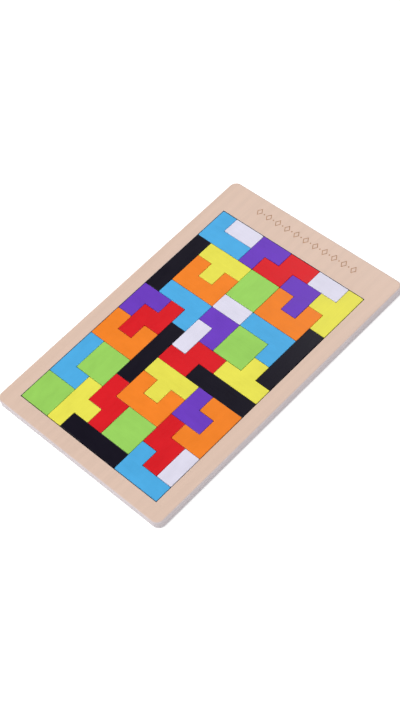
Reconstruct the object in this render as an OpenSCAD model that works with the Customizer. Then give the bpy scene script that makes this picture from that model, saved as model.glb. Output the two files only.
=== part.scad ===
// Wooden tray puzzle: a flat board with a square-cornered well that forty painted polyomino
// pieces of eight kinds fill edge to edge. The board is a window frame glued on a base sheet.
// The origin is the middle of the underside. +Z is up, +X runs along a row of cells, and +Y
// runs up a column of cells to the wide header band.

/* [Grid] */
// Pitch of the square cells that the pieces are made of
cell = 15; // [10:0.5:30]
// Gap between neighbouring pieces that lie square in their cells
piece_gap = 0.25; // [0.2:0.05:1]
// Room between the block of cells and each wall of the well
well_clearance = 0.35; // [0.1:0.05:2]

/* [Tray] */
// Width of the frame beside the well
side_border = 14.9; // [8:0.1:40]
// Width of the frame below the well
foot_border = 13.4; // [8:0.1:40]
// Width of the header band above the well
header = 28.8; // [12:0.1:60]
// Thickness of the frame sheet, and so the depth of the well
frame_thickness = 5; // [4:0.1:10]
// Thickness of the base sheet that closes the well from below
base_thickness = 3; // [2:0.1:8]
// Radius of the upright corners of the tray
tray_corner = 6.5; // [3:0.5:10]
// Rounding of the tray's upper outer edge
top_round = 1.5; // [0.2:0.1:2.5]
// Rounding of the tray's lower outer edge
foot_round = 1; // [0.2:0.1:1.5]
// Rounding of the rim of the well
rim_round = 0.4; // [0.1:0.1:1]

/* [Pieces] */
// How far the tops of the pieces lie below the face of the frame
piece_recess = 0.2; // [0:0.05:1]
// Radius of the upright corners of a piece
piece_corner = 0.8; // [0.6:0.1:3]
// Rounding of the upper and lower edges of a piece
piece_round = 0.4; // [0.1:0.05:0.5]
// How far the block has slid to the upper left, as a share of the well clearance
slide = 0.35; // [0:0.05:1]
// How far a loose piece may lie off the middle of its cells, as a share of the gap
looseness = 0.4; // [0:0.01:0.4]

/* [Hidden] */
$fn = 48;
COLUMNS = 10;
ROWS = 15;
PER_KIND = 5;
KINDS = [
    "white_domino", "purple_corner", "green_square", "blue_l",
    "yellow_t", "red_s", "black_bar", "orange_u"
];

// Outlines of the kinds in cells, anticlockwise from the lower left
DOMINO = [[0, 0], [2, 0], [2, 1], [0, 1]];
CORNER = [[0, 0], [2, 0], [2, 1], [1, 1], [1, 2], [0, 2]];
SQUARE = [[0, 0], [2, 0], [2, 2], [0, 2]];
L_PIECE = [[0, 0], [3, 0], [3, 1], [1, 1], [1, 2], [0, 2]];
T_PIECE = [[0, 0], [3, 0], [3, 1], [2, 1], [2, 2], [1, 2], [1, 1], [0, 1]];
S_PIECE = [[0, 0], [2, 0], [2, 1], [3, 1], [3, 2], [1, 2], [1, 1], [0, 1]];
BAR = [[0, 0], [4, 0], [4, 1], [0, 1]];
U_PIECE = [[0, 0], [3, 0], [3, 2], [2, 2], [2, 1], [1, 1], [1, 2], [0, 2]];

// Where each piece lies: the column and row of the lower left cell of its box, counted from the
// lower left of the well, the quarter turns anticlockwise, and 1 if it is turned over first
WHITE_DOMINOES = [[1, 14, 0, 0], [7, 14, 0, 0], [4, 10, 0, 0], [4, 7, 1, 0], [9, 1, 1, 0]];
PURPLE_CORNERS = [[3, 13, 3, 0], [6, 12, 2, 0], [4, 8, 2, 0], [0, 7, 3, 0], [7, 4, 0, 0]];
GREEN_SQUARES = [[4, 11, 0, 0], [6, 8, 0, 0], [1, 3, 0, 0], [5, 1, 0, 0], [0, 0, 0, 0]];
BLUE_LS = [[0, 13, 0, 0], [6, 9, 2, 0], [1, 8, 2, 0], [0, 2, 3, 1], [7, 0, 0, 0]];
YELLOW_TS = [[8, 12, 1, 0], [1, 11, 2, 0], [7, 7, 0, 0], [4, 4, 2, 0], [2, 0, 3, 0]];
RED_SS = [[4, 13, 0, 0], [1, 6, 1, 1], [4, 6, 0, 0], [3, 1, 1, 0], [7, 1, 1, 0]];
BLACK_BARS = [[0, 9, 1, 0], [9, 8, 1, 0], [3, 4, 1, 0], [6, 6, 0, 0], [3, 0, 0, 0]];
ORANGE_US = [[6, 11, 0, 0], [1, 10, 0, 0], [0, 5, 0, 0], [8, 3, 1, 0], [4, 3, 0, 0]];

grid = [COLUMNS, ROWS] * cell;
well = grid + 2 * [well_clearance, well_clearance];
board = well + [2 * side_border, foot_border + header];
board_outline = [[-1, -1], [1, -1], [1, 1], [-1, 1]] * [[board.x / 2, 0], [0, board.y / 2]];
well_middle = [0, (foot_border - header) / 2];
grid_corner = well_middle - grid / 2 + slide * well_clearance * [-1, 1];

piece_thickness = frame_thickness - piece_recess;
// Half of a loose piece's play moves it, and the other half turns it about its middle
play = looseness * piece_gap / 2;
half_longest_piece = 2 * cell;
most_turn = atan(play / half_longest_piece);

overshoot = 1;

// A value from -1 to 1 that looks random and is the same every time
function jostle(seed) = let (x = 1000 * sin(7919 * seed)) 2 * (x - floor(x)) - 1;

// Outlines have square corners and run anticlockwise, and side i ends at point i + 1
function before(outline, i) = (i + len(outline) - 1) % len(outline);
function after(outline, i) = (i + 1) % len(outline);
function side(outline, i) = outline[after(outline, i)] - outline[i];
function heading(outline, i) = side(outline, i) / norm(side(outline, i));
function leftwards(v) = [-v.y, v.x];
function turns_left(outline, i) =
    cross(heading(outline, i), heading(outline, after(outline, i))) > 0;
function inset(outline, distance) = [
    for (i = [0:len(outline) - 1])
        let (inwards = leftwards(heading(outline, i) + heading(outline, before(outline, i))))
            outline[i] + distance * inwards
];
function extent(outline) = [max([for (p = outline) p.x]), max([for (p = outline) p.y])];

// Puts a shape at the end of side i, with +x outwards and +y along the side
module at_end_of_side(outline, i) {
    way = heading(outline, i);
    end = outline[after(outline, i)];
    translate([end.x, end.y, 0]) rotate(atan2(way.y, way.x) - 90) children();
}

// What rounding takes off a square edge whose corner is at the origin
module arris(radius) {
    translate([-radius, -radius]) difference() {
        square(radius + overshoot);
        circle(radius);
    }
}

// Section through a plate's edge, from the axis of its corners out to the rounded edge
module edge_section(reach, thickness, low_round, high_round) {
    difference() {
        square([reach, thickness]);
        if (high_round > 0) translate([reach, thickness]) arris(high_round);
        if (low_round > 0) mirror([0, 1]) translate([reach, 0]) arris(low_round);
    }
}

// Plate of that outline on z = 0, with rounded outer corners and rounded edges: a flat core,
// the rounded edge drawn along each of its sides, and the same edge turned about each corner
module rounded_plate(outline, thickness, corner, low_round, high_round) {
    core = inset(outline, corner);
    sides = [0:len(core) - 1];
    linear_extrude(thickness) polygon(core);
    for (i = sides) at_end_of_side(core, i) rotate([90, 0, 0]) linear_extrude(norm(side(core, i)))
        edge_section(corner, thickness, low_round, high_round);
    for (i = sides) if (turns_left(core, i)) at_end_of_side(core, i) rotate_extrude(angle = 90)
        edge_section(corner, thickness, low_round, high_round);
}

// Section across the well, with its rounded rim
module well_section(width) {
    wide = width + 2 * rim_round;
    translate([-width / 2, -overshoot]) square([width, frame_thickness + 2 * overshoot]);
    translate([-wide / 2, frame_thickness - rim_round]) difference() {
        square([wide, rim_round + overshoot]);
        circle(rim_round);
        translate([wide, 0]) circle(rim_round);
    }
}

// The space of the well, square in plan and mitred round its rim, with its floor on z = 0
module well_space() {
    reach = well + 2 * (rim_round + overshoot) * [1, 1];
    intersection() {
        rotate([90, 0, 0]) linear_extrude(reach.y, center = true) well_section(well.x);
        rotate([90, 0, 90]) linear_extrude(reach.x, center = true) well_section(well.y);
    }
}

module tray_base() {
    color([0.80, 0.74, 0.70]) rounded_plate(board_outline, base_thickness, tray_corner, foot_round, 0);
}

module tray_frame() {
    color([0.87, 0.77, 0.69]) translate([0, 0, base_thickness]) difference() {
        rounded_plate(board_outline, frame_thickness, tray_corner, 0, top_round);
        translate(well_middle) well_space();
    }
}

// A piece of that outline, laid on the floor of the well in its place
module piece(outline, place) {
    size = extent(outline);
    turned = place[2] % 2 == 0 ? size : [size.y, size.x];
    middle = grid_corner + ([place[0], place[1]] + turned / 2) * cell;
    seed = 1 + place[0] + COLUMNS * place[1];
    nudge = play * [jostle(seed), jostle(seed + 0.5)];
    translate([middle.x + nudge.x, middle.y + nudge.y, base_thickness])
        rotate(90 * place[2] + most_turn * jostle(seed + 0.25))
            mirror([place[3], 0, 0]) translate(-size * cell / 2)
                rounded_plate(inset(outline * cell, piece_gap / 2), piece_thickness,
                    piece_corner, piece_round, piece_round);
}

module white_domino(i) { color([0.89, 0.87, 0.94]) piece(DOMINO, WHITE_DOMINOES[i - 1]); }
module purple_corner(i) { color([0.44, 0.27, 0.75]) piece(CORNER, PURPLE_CORNERS[i - 1]); }
module green_square(i) { color([0.60, 0.83, 0.38]) piece(SQUARE, GREEN_SQUARES[i - 1]); }
module blue_l(i) { color([0.31, 0.68, 0.89]) piece(L_PIECE, BLUE_LS[i - 1]); }
module yellow_t(i) { color([0.91, 0.89, 0.34]) piece(T_PIECE, YELLOW_TS[i - 1]); }
module red_s(i) { color([0.85, 0.15, 0.18]) piece(S_PIECE, RED_SS[i - 1]); }
module black_bar(i) { color([0.12, 0.11, 0.15]) piece(BAR, BLACK_BARS[i - 1]); }
module orange_u(i) { color([0.96, 0.52, 0.18]) piece(U_PIECE, ORANGE_US[i - 1]); }

tray_base();
tray_frame();
for (i = [1:PER_KIND]) {
    white_domino(i);
    purple_corner(i);
    green_square(i);
    blue_l(i);
    yellow_t(i);
    red_s(i);
    black_bar(i);
    orange_u(i);
}
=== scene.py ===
"""Looks for the wooden tray puzzle: a pale board with an engraved band, filled with painted pieces.

Lengths are in metres, in the part's own frame: +Z up, +Y towards the header band. The object's colours
are written as 0-255 screen values and turned into linear light by srgb().
"""

import math

import bmesh
import bpy
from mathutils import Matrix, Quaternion, Vector


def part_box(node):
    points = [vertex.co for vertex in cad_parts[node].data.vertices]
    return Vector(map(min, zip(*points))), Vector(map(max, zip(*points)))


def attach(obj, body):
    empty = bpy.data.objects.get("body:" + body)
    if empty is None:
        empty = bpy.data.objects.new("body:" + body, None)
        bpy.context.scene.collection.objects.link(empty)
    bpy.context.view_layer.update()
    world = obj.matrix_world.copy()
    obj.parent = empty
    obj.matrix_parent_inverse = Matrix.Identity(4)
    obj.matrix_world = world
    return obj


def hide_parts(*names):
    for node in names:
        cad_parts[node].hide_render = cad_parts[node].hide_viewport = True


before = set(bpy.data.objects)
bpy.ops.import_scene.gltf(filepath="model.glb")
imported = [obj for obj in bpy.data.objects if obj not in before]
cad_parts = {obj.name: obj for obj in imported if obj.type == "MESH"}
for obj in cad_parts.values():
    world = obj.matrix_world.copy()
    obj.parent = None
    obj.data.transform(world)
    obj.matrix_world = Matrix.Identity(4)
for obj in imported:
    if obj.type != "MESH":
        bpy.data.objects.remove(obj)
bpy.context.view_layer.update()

MM = 0.001
BODY = "root"

frame_low, frame_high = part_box("tray_frame")
base_low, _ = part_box("tray_base")
TOP = frame_high.z

# The frame sheet's rounded edges and its borders, as the part's source has them
TRAY_CORNER = 6.5 * MM
TOP_ROUND = 1.5 * MM
RIM_ROUND = 0.4 * MM
SIDE_BORDER = 14.9 * MM
FOOT_BORDER = 13.4 * MM
HEADER = 28.8 * MM
WELL_LOW = (frame_low.x + SIDE_BORDER, frame_low.y + FOOT_BORDER)
WELL_HIGH = (frame_high.x - SIDE_BORDER, frame_high.y - HEADER)

# Fine bevel at the foot of the frame sheet, which marks the seam between the two sheets
SEAM_ARRIS = 0.15 * MM

# Steps of each rounding, and how many of the rim's take the wall's dark brown, partly laser browning and
# partly painted shade, counted from the wall up
CORNER_STEPS = 16
TOP_STEPS = 8
RIM_STEPS = 5
DARK_RIM_STEPS = 1
SMOOTH_ANGLE = math.radians(30)

# Engraved row of lozenges and dots in the header, with its middle line at that rise above the well
ORNAMENT_RISE = 16.1 * MM
LOZENGES = 11
LOZENGE_PITCH = 10 * MM
LOZENGE_WIDTH = 5.4 * MM
LOZENGE_HEIGHT = 7.2 * MM
DOT_RADIUS = 0.65 * MM
DOT_SIDES = 16
GROOVE_WIDTH = 0.65 * MM
GROOVE_DEPTH = 0.25 * MM
# How far each side of a groove leans in, from the cutter's top to the groove's floor
GROOVE_LEAN = 0.08 * MM
GROOVE_FLOOR = TOP - GROOVE_DEPTH
CUTTER_TOP = TOP + GROOVE_DEPTH

# Thickness of a ply, and the part of it over which one ply's tone turns into the next one's
PLY = 1 * MM
PLY_BLUR = 0.08
# Growth rings on the faces, in radians of phase a metre, and how many radians they wander
RINGS = 620.0
RING_WANDER = 26.0

# Features a metre of each texture of the wood, along X, Y and Z
WANDER_SCALES = (14, 1.8, 14)
STREAK_SCALES = (900, 20, 500)
CLOUD_SCALES = (26, 9, 26)
PORE_SCALES = (2600, 230, 1500)
FIBRE_SCALES = (70, 70, 4200)
FIBRE_END_SCALES = (1500, 1500, 2200)
SOOT_SCALES = (700, 700, 700)
# The same for the paint, along its grain, across it and upwards
COAT_STREAK_SCALES = (26, 900, 500)
COAT_CLOUD_SCALES = (70, 110, 70)
WEAR_AND_HIGHLIGHT_SCALES = (160, 160, 160)

# Values of a noise between which a ramp runs: most of its range, its middle, its upper half, its peaks
WIDE = (0.3, 0.7)
NARROW = (0.35, 0.65)
PATCHES = (0.45, 0.65)
PEAKS = (0.66, 0.76)

# Z of the normal, 0 on an upright side and 1 on a level face, between which a ramp runs
WOOD_EDGE_TO_FACE = (0.62, 0.995)
SIDE_TO_ARRIS = (0.15, 0.5)
FACE_TO_ARRIS = (0.99, 0.85)
FACE_TO_SIDE = (0.6, 0.1)

# A side of a piece counts as its longer one when it is longer by this factor
CLEARLY_LONGER = 1.05
# How far the coats of the pieces differ, and the step in phase from one piece to the next
COAT_SPREAD = 0.16
COAT_STEP = 2.4
# How much of its colour an edge's worn and painted-highlight tone keeps, how much paler it gets, and how
# brown the sides are
RUBBED_HIGHLIT_SHARE = 0.6
RUBBED_HIGHLIT_PALENESS = 0.25
# The sides' share of dark brown is partly laser browning and partly painted shade in the seams between the
# pieces
SIDE_BROWN_AND_SHADE = 0.05

# How far the floor lies under the part, so that the two faces are not in one plane
FLOOR_DROP = 0.05 * MM
FLOOR_REACH = 6.0
# The floor's own grey and the glow that makes it white in the picture, and the world's light
FLOOR_GREY = 0.86
FLOOR_GLOW = 0.52
WORLD_LIGHT = 0.58

# The photograph's view, fitted to the lines between the pieces, the well's corners and the outline
AIM = Vector((10.63 * MM, -9.62 * MM, TOP))
DISTANCE = 1231.1 * MM
AZIMUTH = math.radians(58.94)
ELEVATION = math.radians(52.78)
ROLL = math.radians(17.76)
# In millimetres, as Blender takes them
SENSOR = 36.0
LENS = 82.4

# Sockets of the Mix node that are for colours
MIX_SHARE, MIX_FIRST, MIX_SECOND, MIX_RESULT = 0, 6, 7, 2


def srgb(red, green, blue):
    """Linear colour of a 0-255 screen colour, with full alpha."""
    def linear(value):
        value /= 255
        return value / 12.92 if value <= 0.04045 else ((value + 0.055) / 1.055) ** 2.4
    return linear(red), linear(green), linear(blue), 1.0


def grey(level):
    """Linear grey, with full alpha."""
    return level, level, level, 1.0


def tone(color, factor):
    """The colour times a factor, darker below 1 and paler above."""
    return tuple(min(1.0, factor * channel) for channel in color[:3]) + (1.0,)


def rubbed_and_highlit(color):
    """The paler, duller tone of paint on an edge: partly paint worn thin, partly a painted highlight."""
    return tuple(RUBBED_HIGHLIT_SHARE * channel + RUBBED_HIGHLIT_PALENESS for channel in color[:3]) + (1.0,)


# Dark brown of the well's cut walls and, in a trace, of the pieces' sides: partly the brown a laser leaves
# on cut wood, partly painted shade in the gaps between the parts
SCORCH_AND_SHADE = srgb(84, 58, 42)

# Material name and colour of each kind of piece
PAINTS = {
    "white_domino": ("white_paint", srgb(228, 225, 243)),
    "purple_corner": ("purple_paint", srgb(111, 61, 195)),
    "green_square": ("green_paint", srgb(156, 214, 97)),
    "blue_l": ("blue_paint", srgb(79, 176, 233)),
    "yellow_t": ("yellow_paint", srgb(237, 231, 84)),
    "red_s": ("red_paint", srgb(223, 26, 36)),
    "black_bar": ("black_paint", srgb(10, 5, 23)),
    "orange_u": ("orange_paint", srgb(249, 134, 38)),
}


class Graph:
    """Short calls for making a material's nodes. A value that is a socket is linked, any other is set."""

    def __init__(self, tree):
        self.tree = tree
        tree.nodes.clear()

    def node(self, kind, out=0, settings=None, **inputs):
        """Output of a new node, by name or number. Inputs go by name, or by number as i0 and so on."""
        made = self.tree.nodes.new("ShaderNode" + kind)
        for key, value in (settings or {}).items():
            setattr(made, key, value)
        for key, value in inputs.items():
            by_number = key[1:].isdigit()
            self.put(made.inputs[int(key[1:]) if by_number else key.replace("_", " ")], value)
        return made.outputs[out] if made.outputs else None

    def put(self, socket, value):
        if isinstance(value, bpy.types.NodeSocket):
            self.tree.links.new(value, socket)
        else:
            socket.default_value = value

    def math(self, operation, a, b=0.0, clamp=False):
        return self.node("Math", settings={"operation": operation, "use_clamp": clamp}, i0=a, i1=b)

    def mix(self, share, first, second):
        """Mixed colour, with that share of the second."""
        made = self.tree.nodes.new("ShaderNodeMix")
        made.data_type = "RGBA"
        self.put(made.inputs[MIX_SHARE], share)
        self.put(made.inputs[MIX_FIRST], first)
        self.put(made.inputs[MIX_SECOND], second)
        return made.outputs[MIX_RESULT]

    def tones(self, share, color, dark, pale):
        """The colour between its dark tone, at share 0, and its pale one, at share 1."""
        return self.mix(share, tone(color, dark), tone(color, pale))

    def ramp(self, value, low, high, to_low=0.0, to_high=1.0):
        return self.node("MapRange", i0=value, i1=low, i2=high, i3=to_low, i4=to_high)

    def noise(self, vector, scales, detail=3.0, distortion=0.0):
        """Noise with that many features a metre along X, Y and Z."""
        stretched = self.node("Mapping", Vector=vector, Scale=scales)
        return self.node("TexNoise", Vector=stretched, Scale=1.0, Detail=detail,
                         Roughness=0.55, Distortion=distortion)

    def place(self):
        """Point on the surface in the object's own coordinates."""
        return self.node("TexCoord", out="Object")

    def part(self, axis, vector):
        return self.node("SeparateXYZ", out=axis, Vector=vector)

    def slope(self):
        """Z of the normal."""
        return self.part("Z", self.node("NewGeometry", out="Normal"))

    def own_number(self, name):
        """A number that each object has as a custom property."""
        return self.node("Attribute", out="Fac",
                         settings={"attribute_type": "OBJECT", "attribute_name": name})

    def seen_ray(self):
        """1 for a ray from the camera, a reflection or a transmission, and 0 for light on a matt surface."""
        rays = self.tree.nodes.new("ShaderNodeLightPath").outputs
        seen = self.math("MAXIMUM", rays["Is Camera Ray"], rays["Is Glossy Ray"])
        return self.math("MAXIMUM", seen, rays["Is Transmission Ray"])


def new_material(name):
    material = bpy.data.materials.new(name)
    material.use_nodes = True
    return material, Graph(material.node_tree)


def finish_material(graph, color, roughness, specular, height, bump_depth):
    """Principled surface with that colour, roughness and bump, wired to the output."""
    bump = graph.node("Bump", Strength=1.0, Distance=bump_depth, Height=height)
    surface = graph.node("BsdfPrincipled", Base_Color=color, Roughness=roughness, Normal=bump)
    surface.node.inputs["Specular IOR Level"].default_value = specular
    graph.node("OutputMaterial", Surface=surface)


def wood_grain(graph, place):
    """Close-grained veneer cut along Y: its tone from 0, dark, to 1, pale, and its fine streaks."""
    wander = graph.noise(place, WANDER_SCALES, detail=2.0)
    phase = graph.math("ADD", graph.math("MULTIPLY", graph.part("X", place), RINGS),
                       graph.math("MULTIPLY", wander, RING_WANDER))
    rings = graph.ramp(graph.math("SINE", phase), -1.0, 1.0, to_high=0.22)
    streaks = graph.noise(place, STREAK_SCALES, detail=4.0, distortion=0.4)
    fine = graph.ramp(streaks, *WIDE, to_high=0.32)
    cloud = graph.ramp(graph.noise(place, CLOUD_SCALES, detail=2.0), *NARROW, to_low=0.07, to_high=0.31)
    return graph.math("ADD", graph.math("ADD", rings, fine), cloud), streaks


def ply_edge(graph, place, color, foot):
    """The sheet's edge from its foot up: plies with their fibres along it, and plies end on."""
    height = graph.math("SUBTRACT", graph.part("Z", place), foot)
    ply = graph.math("PINGPONG", height, PLY)
    end_on = graph.ramp(ply, (1 - PLY_BLUR) / 2 * PLY, (1 + PLY_BLUR) / 2 * PLY)
    fibres = graph.ramp(graph.noise(place, FIBRE_SCALES), *NARROW)
    ends = graph.ramp(graph.noise(place, FIBRE_END_SCALES, detail=2.0), *NARROW)
    return graph.mix(end_on, graph.tones(fibres, color, 0.90, 1.04), graph.tones(ends, color, 0.87, 0.98))


def wood_material(name, face, edge, foot):
    """Pale plywood: grain along Y on its faces, and the plies of the sheet from foot up on its edges."""
    material, graph = new_material(name)
    place = graph.place()
    grain, streaks = wood_grain(graph, place)
    pores = graph.noise(place, PORE_SCALES, detail=2.0)
    veneer = graph.tones(grain, face, 0.93, 1.056)
    veneer = graph.mix(graph.ramp(pores, *PEAKS, to_high=0.16), veneer, tone(face, 0.45))
    levelness = graph.ramp(graph.math("ABSOLUTE", graph.slope()), *WOOD_EDGE_TO_FACE)
    color = graph.mix(levelness, ply_edge(graph, place, edge, foot), veneer)
    roughness = graph.ramp(streaks, *WIDE, to_low=0.38, to_high=0.48)
    relief = graph.math("ADD", streaks, pores)
    finish_material(graph, color, roughness, specular=0.22, height=relief, bump_depth=0.03 * MM)
    return material


def paint_material(name, color):
    """Satin paint on wood: fine ridges along the grain, an uneven coat, and sides a trace browner and
    darker, partly painted shade for the seams.

    The rounded edges are paler in patches, partly wear and partly a painted highlight. Each piece turns the
    grain and sets its coat's tone.
    """
    material, graph = new_material(name)
    place = graph.place()
    turned = graph.node("VectorRotate", settings={"rotation_type": "Z_AXIS"},
                        Vector=place, Angle=graph.own_number("grain_turn"))
    streaks = graph.noise(turned, COAT_STREAK_SCALES, detail=4.0)
    cloud = graph.noise(turned, COAT_CLOUD_SCALES, detail=2.0)
    share = graph.math("ADD", graph.ramp(streaks, *WIDE, to_low=0.08, to_high=0.32),
                       graph.ramp(cloud, *WIDE, to_high=0.6))
    share = graph.math("ADD", share, graph.own_number("coat"), clamp=True)
    coat = graph.tones(share, color, 0.93, 1.06)
    slope = graph.slope()
    # Paler patches on the rounded edges: partly worn paint, partly a painted highlight
    arris = graph.math("MULTIPLY", graph.ramp(slope, *SIDE_TO_ARRIS), graph.ramp(slope, *FACE_TO_ARRIS))
    patches = graph.ramp(graph.noise(place, WEAR_AND_HIGHLIGHT_SCALES), *PATCHES, to_high=0.3)
    coat = graph.mix(graph.math("MULTIPLY", arris, patches), coat, rubbed_and_highlit(color))
    # Upright sides take their paint with a trace of dark brown: partly browning, partly painted shade in the
    # seams
    sideness = graph.ramp(graph.math("ABSOLUTE", slope), *FACE_TO_SIDE)
    coat = graph.mix(sideness, coat, graph.mix(SIDE_BROWN_AND_SHADE, color, SCORCH_AND_SHADE))
    roughness = graph.ramp(cloud, *WIDE, to_low=0.26, to_high=0.34)
    finish_material(graph, coat, roughness, specular=0.06, height=streaks, bump_depth=0.02 * MM)
    return material


def burnt_material(name, color):
    """Wood as a laser leaves it, for the engraved lines and for the well's cut walls, where the dark brown
    is partly painted shade in the gaps.
    """
    material, graph = new_material(name)
    soot = graph.noise(graph.place(), SOOT_SCALES)
    scorch = graph.tones(graph.ramp(soot, *NARROW), color, 0.75, 1.0)
    finish_material(graph, scorch, roughness=0.85, specular=0.1, height=soot, bump_depth=0.04 * MM)
    return material


def paint_pieces():
    """Gives each loose piece its paint, with the grain along its longer side and a coat of its own."""
    for kind, (name, color) in PAINTS.items():
        material = paint_material(name + "_coat", color)
        for node_name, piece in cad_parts.items():
            if not node_name.startswith(kind):
                continue
            number = int(node_name.rsplit("_", 1)[1])
            low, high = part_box(node_name)
            longer_in_y = high.y - low.y > CLEARLY_LONGER * (high.x - low.x)
            turned_square = kind == "green_square" and number % 2
            piece["grain_turn"] = math.pi / 2 if longer_in_y or turned_square else 0.0
            piece["coat"] = COAT_SPREAD * math.sin(COAT_STEP * number + len(kind))
            piece.material_slots[0].material = material


def plain_object(name, data):
    made = bpy.data.objects.new(name, data)
    bpy.context.scene.collection.objects.link(made)
    return made


def object_from(name, mesh, *materials):
    """Object with the faces of a bmesh, which is freed, and those materials in their order."""
    data = bpy.data.meshes.new(name)
    mesh.to_mesh(data)
    mesh.free()
    for material in materials:
        data.materials.append(material)
    return plain_object(name, data)


def add_ring(mesh, points, z):
    return [mesh.verts.new((x, y, z)) for x, y in points]


def bridge(mesh, lower, upper, material=0):
    """Quads between two rings with the same number of points."""
    count = len(lower)
    for i in range(count):
        j = (i + 1) % count
        face = mesh.faces.new((lower[i], lower[j], upper[j], upper[i]))
        face.material_index = material


def rectangle(low, high, spread):
    """Corners of a rectangle grown by spread, anticlockwise."""
    x0, y0, x1, y1 = low[0] - spread, low[1] - spread, high[0] + spread, high[1] + spread
    return [(x0, y0), (x1, y0), (x1, y1), (x0, y1)]


def rounded_rectangle(low, high, inset, radius):
    """Rectangle with corners of that radius, each in CORNER_STEPS steps, moved inwards by inset."""
    points = []
    for quarter, (x, y) in enumerate(rectangle(low, high, -radius)):
        for step in range(CORNER_STEPS + 1):
            turn = math.radians(180 + 90 * (quarter + step / CORNER_STEPS))
            points.append((x + (radius - inset) * math.cos(turn), y + (radius - inset) * math.sin(turn)))
    return points


def face_with_window(mesh, outer, window, up):
    """Four flat faces between a rounded outline and a four-cornered window."""
    per_corner = CORNER_STEPS + 1
    for quarter in range(4):
        start = quarter * per_corner + CORNER_STEPS // 2
        run = [outer[(start + i) % len(outer)] for i in range(per_corner + 1)]
        loop = run + [window[(quarter + 1) % 4], window[quarter]]
        mesh.faces.new(loop if up else loop[::-1])


def quarter_round(radius, steps):
    """Pairs of inset and drop along a rounded edge, from its side up to its flat."""
    turns = [math.pi / 2 * step / steps for step in range(steps + 1)]
    return [(radius * (1 - math.cos(turn)), radius * (1 - math.sin(turn))) for turn in turns]


def frame_mesh():
    """The frame sheet, with its rounded upper edge, the window of the well and the window's rim.

    Its material 1 is the window's wall and the darkened lowest steps of the rim, partly laser browning and
    partly painted shade, and 0 is all the rest.
    """
    mesh = bmesh.new()
    bottom = frame_low.z
    seam = add_ring(mesh, rounded_rectangle(frame_low, frame_high, SEAM_ARRIS, TRAY_CORNER), bottom)
    outer = add_ring(mesh, rounded_rectangle(frame_low, frame_high, 0, TRAY_CORNER), bottom + SEAM_ARRIS)
    bridge(mesh, seam, outer)
    for inset, drop in quarter_round(TOP_ROUND, TOP_STEPS):
        ring = add_ring(mesh, rounded_rectangle(frame_low, frame_high, inset, TRAY_CORNER), TOP - drop)
        bridge(mesh, outer, ring)
        outer = ring
    window_foot = add_ring(mesh, rectangle(WELL_LOW, WELL_HIGH, 0), bottom)
    inner = window_foot
    # The lowest rim steps take material 1, dark brown: partly laser browning, partly painted shade along the
    # gap
    for step, (inset, drop) in enumerate(quarter_round(RIM_ROUND, RIM_STEPS)):
        ring = add_ring(mesh, rectangle(WELL_LOW, WELL_HIGH, inset), TOP - drop)
        bridge(mesh, ring, inner, material=1 if step <= DARK_RIM_STEPS else 0)
        inner = ring
    face_with_window(mesh, outer, inner, up=True)
    face_with_window(mesh, seam, window_foot, up=False)
    return mesh


def lozenge(x, y, spread):
    """Corners of one of the row's lozenges with its sides moved outwards by spread, anticlockwise."""
    half_width, half_height = LOZENGE_WIDTH / 2, LOZENGE_HEIGHT / 2
    middle_to_side = half_width * half_height / math.hypot(half_width, half_height)
    share = 1 + spread / middle_to_side
    across, along = half_width * share, half_height * share
    return [(x + across, y), (x, y + along), (x - across, y), (x, y - along)]


def add_groove(mesh, x, y):
    """Closed cutter for a lozenge-shaped line, narrower at its floor."""
    outer_low = add_ring(mesh, lozenge(x, y, -GROOVE_LEAN), GROOVE_FLOOR)
    outer_high = add_ring(mesh, lozenge(x, y, 0), CUTTER_TOP)
    inner_high = add_ring(mesh, lozenge(x, y, -GROOVE_WIDTH), CUTTER_TOP)
    inner_low = add_ring(mesh, lozenge(x, y, GROOVE_LEAN - GROOVE_WIDTH), GROOVE_FLOOR)
    rings = [outer_low, outer_high, inner_high, inner_low]
    for i in range(4):
        bridge(mesh, rings[i], rings[(i + 1) % 4])


def add_dot(mesh, x, y):
    """Closed cutter for a round dot, narrower at its floor."""
    def ring(radius, z):
        turns = [math.tau * i / DOT_SIDES for i in range(DOT_SIDES)]
        return add_ring(mesh, [(x + radius * math.cos(t), y + radius * math.sin(t)) for t in turns], z)
    low, high = ring(DOT_RADIUS - GROOVE_LEAN, GROOVE_FLOOR), ring(DOT_RADIUS, CUTTER_TOP)
    bridge(mesh, low, high)
    mesh.faces.new(low[::-1])
    mesh.faces.new(high)


def ornament_cutter():
    """A plain row of lozenges with a dot between each two, for the middle of the header band."""
    mesh = bmesh.new()
    y = WELL_HIGH[1] + ORNAMENT_RISE
    for i in range(LOZENGES):
        x = (i - (LOZENGES - 1) / 2) * LOZENGE_PITCH
        add_groove(mesh, x, y)
        if i:
            add_dot(mesh, x - LOZENGE_PITCH / 2, y)
    return mesh


def smooth_by_angle(data, angle):
    data.polygons.foreach_set("use_smooth", [True] * len(data.polygons))
    data.set_sharp_from_angle(angle=angle)
    data.update()


def make_tray_frame(wood, cut_wall, burnt):
    """The frame sheet with the ornament engraved in its header, in place of the plain CAD solid."""
    blank = object_from("frame_blank", frame_mesh(), wood, cut_wall)
    cutter = object_from("ornament_cutter", ornament_cutter(), burnt)
    cut = blank.modifiers.new("engrave", "BOOLEAN")
    cut.object = cutter
    cut.operation = "DIFFERENCE"
    cut.solver = "EXACT"
    cut.material_mode = "TRANSFER"
    evaluated = blank.evaluated_get(bpy.context.evaluated_depsgraph_get())
    data = bpy.data.meshes.new_from_object(evaluated)
    data.name = "window_frame"
    smooth_by_angle(data, SMOOTH_ANGLE)
    bpy.data.objects.remove(cutter)
    bpy.data.objects.remove(blank)
    piece = plain_object("window_frame", data)
    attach(piece, BODY)
    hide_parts("tray_frame")


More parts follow.
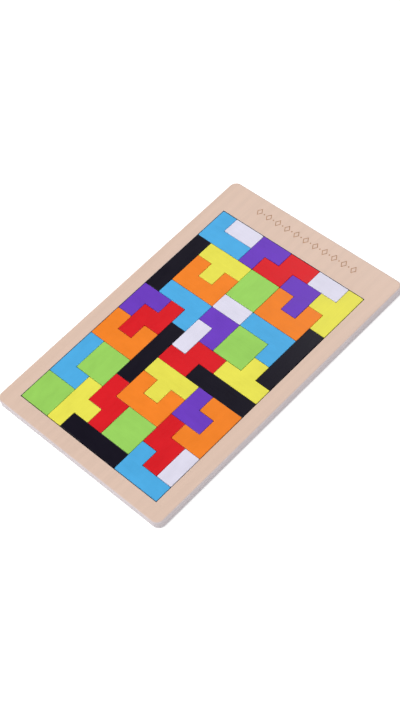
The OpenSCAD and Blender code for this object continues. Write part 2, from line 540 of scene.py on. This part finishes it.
def make_floor():
    """White floor that keeps a soft shadow."""
    mesh = bpy.data.meshes.new("floor")
    corners = rectangle((0, 0), (0, 0), FLOOR_REACH)
    mesh.from_pydata([(x, y, 0) for x, y in corners], [], [(0, 1, 2, 3)])
    floor = plain_object("floor", mesh)
    floor.location.z = -FLOOR_DROP
    material, graph = new_material("floor_white")
    diffuse = graph.node("BsdfDiffuse", Color=grey(FLOOR_GREY))
    glow = graph.node("Emission", Color=grey(1.0),
                      Strength=graph.math("MULTIPLY", graph.seen_ray(), FLOOR_GLOW))
    graph.node("OutputMaterial", Surface=graph.node("AddShader", i0=diffuse, i1=glow))
    mesh.materials.append(material)


def make_world():
    """World that looks white and lights the part at WORLD_LIGHT."""
    world = bpy.data.worlds.new("studio")
    bpy.context.scene.world = world
    world.use_nodes = True
    graph = Graph(world.node_tree)
    strength = graph.ramp(graph.seen_ray(), 0.0, 1.0, to_low=WORLD_LIGHT, to_high=1.0)
    graph.node("OutputWorld", Surface=graph.node("Background", Color=grey(1.0), Strength=strength))


def add_lamp(name, place, size, watts):
    """Soft round lamp that faces the origin."""
    lamp = bpy.data.lights.new(name, "AREA")
    lamp.shape = "DISK"
    lamp.size = size
    lamp.energy = watts
    made = plain_object(name, lamp)
    made.location = place
    made.rotation_mode = "QUATERNION"
    made.rotation_quaternion = (-Vector(place)).to_track_quat("-Z", "Y")
    return made


def make_lamps():
    """The key lamp, and a weaker one that shows only in glossy reflections."""
    add_lamp("key", place=(-1.04, -1.3, 3.6), size=2.6, watts=71.0)
    sheen = add_lamp("sheen", place=(-0.875, 1.322, 1.9), size=0.8, watts=24.0)
    sheen.visible_diffuse = False


def make_camera():
    """Camera at the photograph's angle, distance and roll."""
    camera = bpy.data.objects.new("camera", bpy.data.cameras.new("camera"))
    bpy.context.scene.collection.objects.link(camera)
    camera.data.sensor_width = SENSOR
    camera.data.lens = LENS
    level = math.cos(ELEVATION)
    ahead = Vector((-math.sin(AZIMUTH) * level, math.cos(AZIMUTH) * level, -math.sin(ELEVATION)))
    camera.location = AIM - DISTANCE * ahead
    camera.rotation_mode = "QUATERNION"
    camera.rotation_quaternion = ahead.to_track_quat("-Z", "Y") @ Quaternion((0, 0, 1), -ROLL)
    bpy.context.scene.camera = camera


make_camera()
make_floor()
make_world()
make_lamps()
bpy.context.scene.view_settings.view_transform = "Standard"

tray_wood = wood_material("basswood", srgb(223, 194, 176), srgb(228, 217, 220), frame_low.z)
base_wood = wood_material("base_ply", srgb(218, 198, 185), srgb(227, 220, 224), base_low.z)
# The cut wall's dark brown is partly laser browning and partly painted shade in the gaps around the pieces
cut_wall = burnt_material("laser_brown_and_shade_wall", SCORCH_AND_SHADE)
burnt_wood = burnt_material("burnt_line", srgb(201, 154, 118))
make_tray_frame(tray_wood, cut_wall, burnt_wood)
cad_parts["tray_base"].material_slots[0].material = base_wood
paint_pieces()
